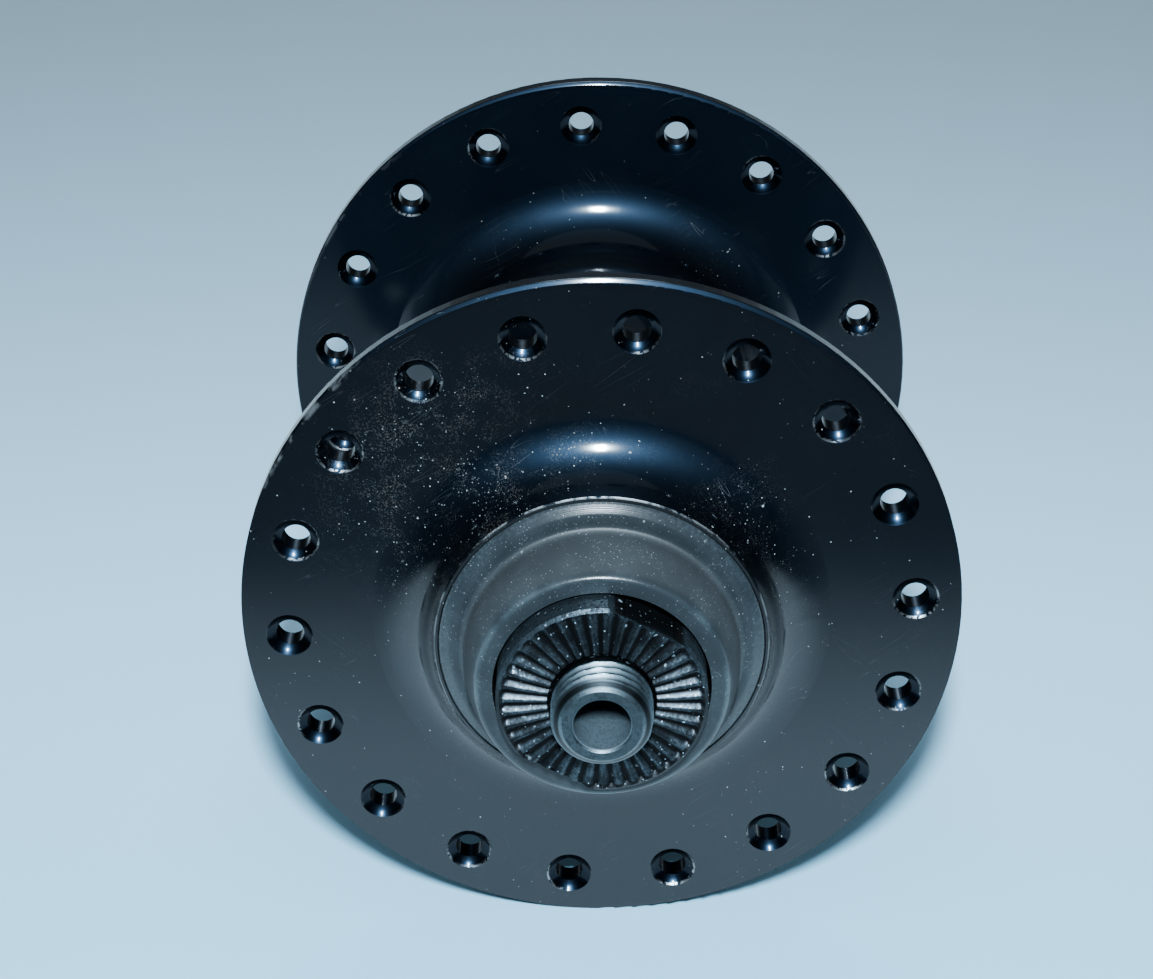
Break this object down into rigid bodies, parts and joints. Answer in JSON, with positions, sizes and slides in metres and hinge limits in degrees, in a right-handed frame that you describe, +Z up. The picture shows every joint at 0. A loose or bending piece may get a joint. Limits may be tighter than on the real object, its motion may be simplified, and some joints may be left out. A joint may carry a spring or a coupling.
{
  "type": "bicycle front hub",
  "caption": "Bicycle front hub: a flanged spoked-wheel shell turning on loose balls and cones round a hollow axle, with dust caps and toothed locknuts.",
  "frame": {"origin": "middle of the hub on the axle's centre line", "axes": "+Y along the axle towards the right end, +Z up"},
  "size_m": [0.0666, 0.093, 0.0666],
  "materials": {
    "black_anodised_aluminium": "glossy black anodising, dusty and worn",
    "dark_grey_cap": "satin dark grey, lightly scratched",
    "blackened_steel": "blackened, bright on the worn tooth crests",
    "bright_steel": "turned and rolled, bright zinc",
    "bearing_steel": "hardened and ground, lightly greased",
    "plated_steel": "zinc plated pressed steel",
    "polished_steel": "polished bearing balls"
  },
  "bodies": {
    "axle_set": {"axle": "bright_steel", "cone_left": "bearing_steel", "spacer_left": "plated_steel", "locknut_left": "blackened_steel", "cone_right": "bearing_steel", "spacer_right": "plated_steel", "locknut_right": "blackened_steel"},
    "shell_set": {"hub_shell": "black_anodised_aluminium", "bearing_cup_left": "bearing_steel", "dust_cap_left": "dark_grey_cap", "bearing_cup_right": "bearing_steel", "dust_cap_right": "dark_grey_cap"},
    "balls_left": {"ball_retainer_left": "plated_steel", "ball_left_01": "polished_steel", "ball_left_02": "polished_steel", "ball_left_03": "polished_steel", "ball_left_04": "polished_steel", "ball_left_05": "polished_steel", "ball_left_06": "polished_steel", "ball_left_07": "polished_steel", "ball_left_08": "polished_steel", "ball_left_09": "polished_steel", "ball_left_10": "polished_steel"},
    "balls_right": {"ball_retainer_right": "plated_steel", "ball_right_01": "polished_steel", "ball_right_02": "polished_steel", "ball_right_03": "polished_steel", "ball_right_04": "polished_steel", "ball_right_05": "polished_steel", "ball_right_06": "polished_steel", "ball_right_07": "polished_steel", "ball_right_08": "polished_steel", "ball_right_09": "polished_steel", "ball_right_10": "polished_steel"}
  },
  "joints": [
    {"name": "hub_spin", "type": "hinge", "parent": "axle_set", "child": "shell_set", "pos_m": [0, 0, 0], "axis": [0, 1, 0], "continuous": true},
    {"name": "balls_spin_left", "type": "hinge", "parent": "axle_set", "child": "balls_left", "pos_m": [0, -0.0262, 0], "axis": [0, 1, 0], "continuous": true},
    {"name": "balls_spin_right", "type": "hinge", "parent": "axle_set", "child": "balls_right", "pos_m": [0, 0.0262, 0], "axis": [0, 1, 0], "continuous": true}
  ],
  "couplings": [
    {"joint": "balls_spin_left", "follows": "hub_spin", "ratio": 0.602},
    {"joint": "balls_spin_right", "follows": "hub_spin", "ratio": 0.602}
  ]
}
